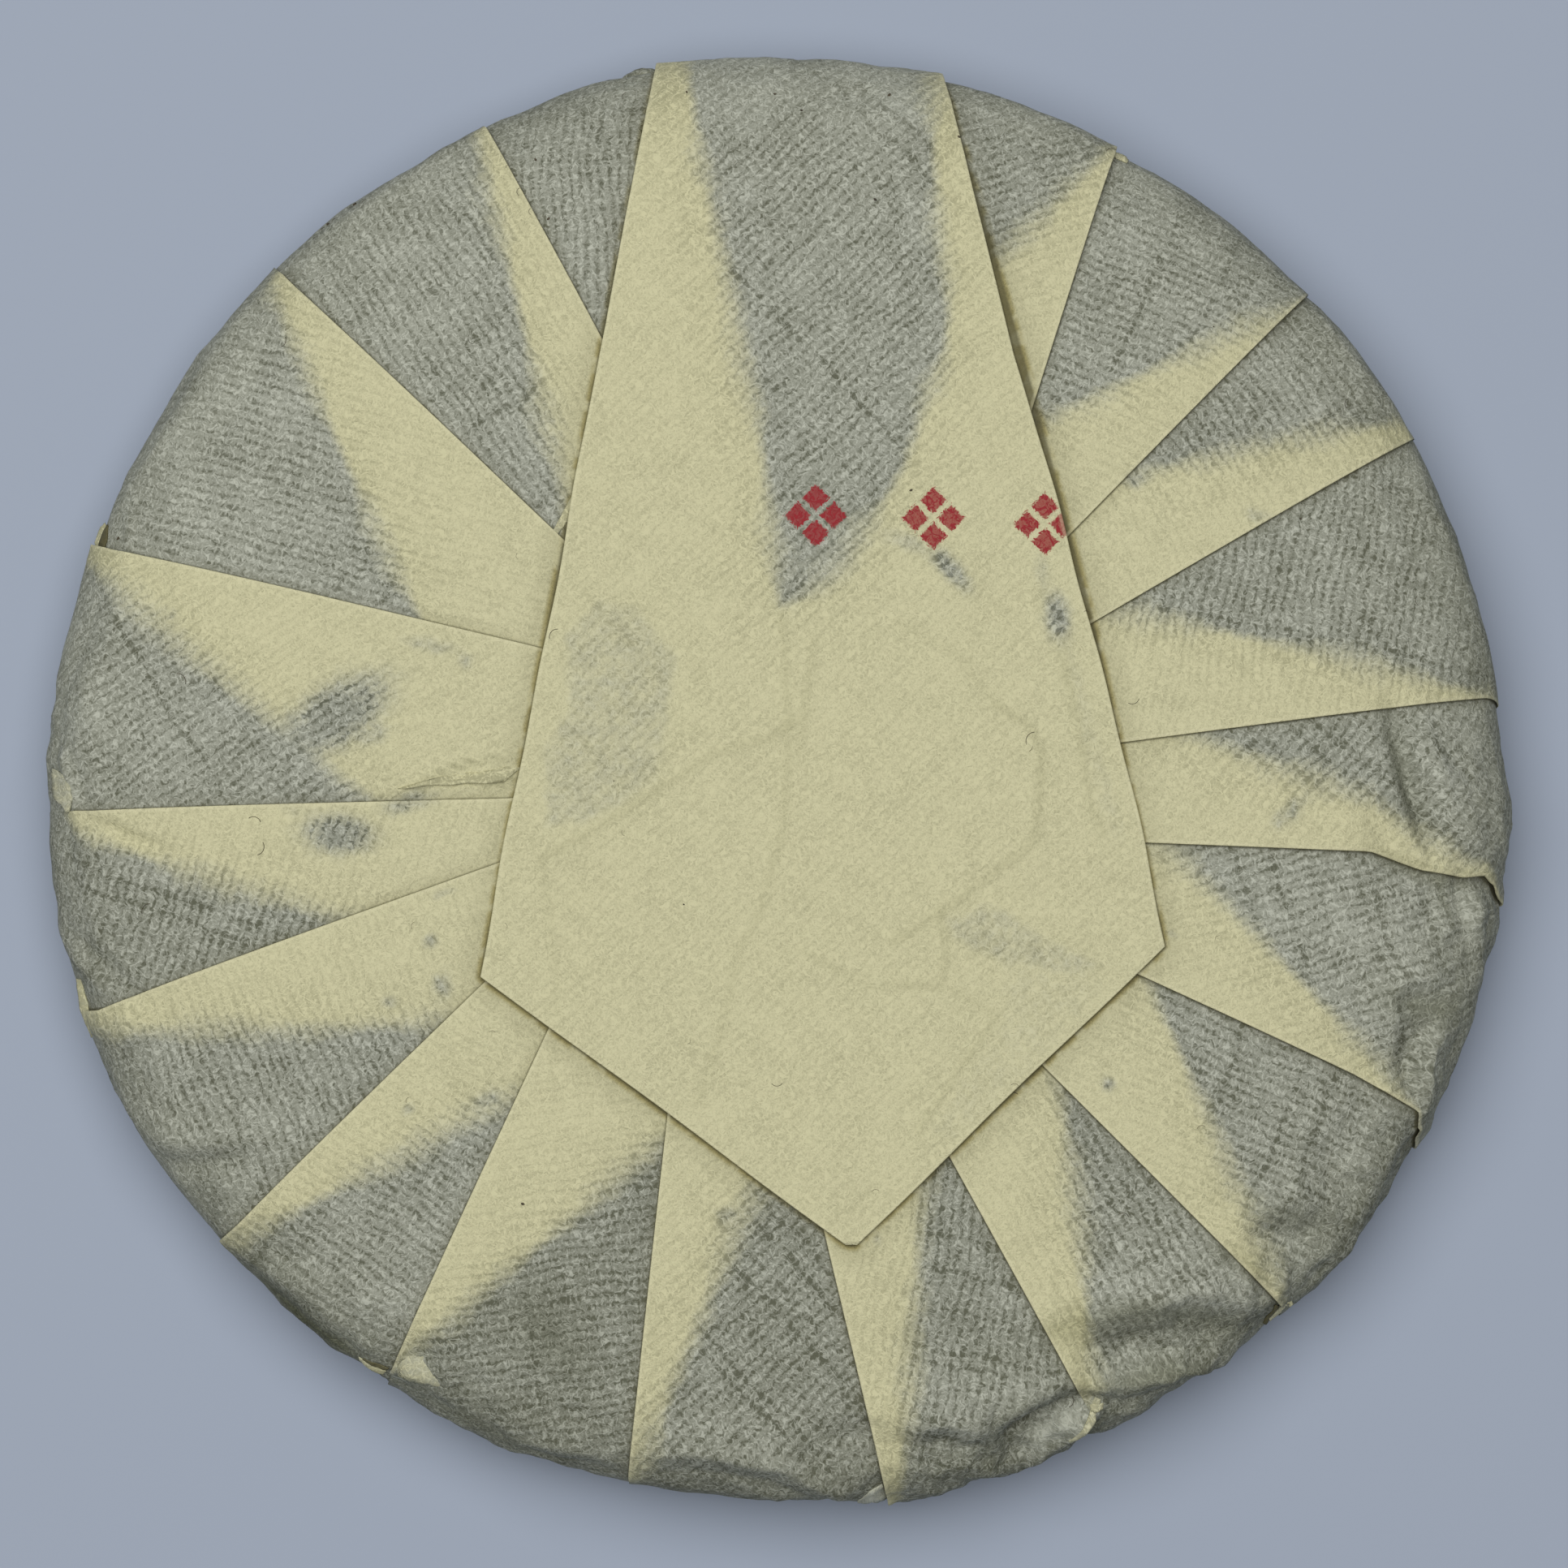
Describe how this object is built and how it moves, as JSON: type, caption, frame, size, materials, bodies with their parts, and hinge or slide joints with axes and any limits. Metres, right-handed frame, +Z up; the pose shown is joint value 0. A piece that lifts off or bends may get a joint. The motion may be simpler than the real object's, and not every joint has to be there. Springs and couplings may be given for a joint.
{
  "type": "wrapped pu-erh tea cake",
  "caption": "Round cake of pressed raw tea shut in a pleated wrapper of thin handmade paper, lying with the folded side up.",
  "frame": {"origin": "on the surface it rests on, under the middle of the cake's bounding box", "axes": "+Z up through the cake's thickness, the folded side of the wrapper up; +Y towards the rim over which the closing flap comes, +X to the right of that as seen from above"},
  "size_m": [0.2018, 0.1997, 0.0265],
  "materials": {
    "paper": "thin matte handmade cotton paper, cream where it lies in several layers and grey where the dark tea shows through one layer"
  },
  "bodies": {
    "root": {"wrapped_tea_cake": "paper"}
  },
  "joints": []
}
